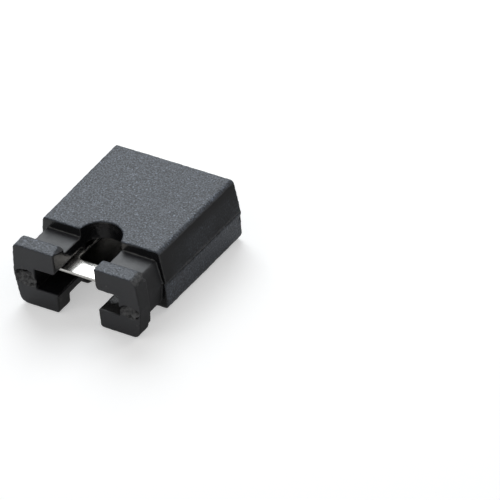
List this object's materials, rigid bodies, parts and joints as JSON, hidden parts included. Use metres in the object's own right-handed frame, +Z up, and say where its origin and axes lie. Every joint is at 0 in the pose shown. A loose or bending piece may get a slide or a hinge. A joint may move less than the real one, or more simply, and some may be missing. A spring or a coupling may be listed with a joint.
{
  "type": "jumper shunt",
  "caption": "Open-top jumper shunt: a moulded sleeve with a forked grip end round one folded contact that bridges neighbouring square header pins.",
  "frame": {"origin": "middle of the lower broad face, which the part lies on", "axes": "+Y from the fork tips to the pin mouth, the way the pins leave; +X across the two pins; +Z up through the thickness"},
  "size_m": [0.005, 0.006, 0.0024],
  "materials": {
    "housing": "black glass-filled moulding, spark-eroded grain on the upper broad face",
    "contact": "bright tin plate over copper alloy, bare alloy on sheared ends"
  },
  "bodies": {
    "root": {"housing": "housing", "contact": "contact"}
  },
  "joints": []
}
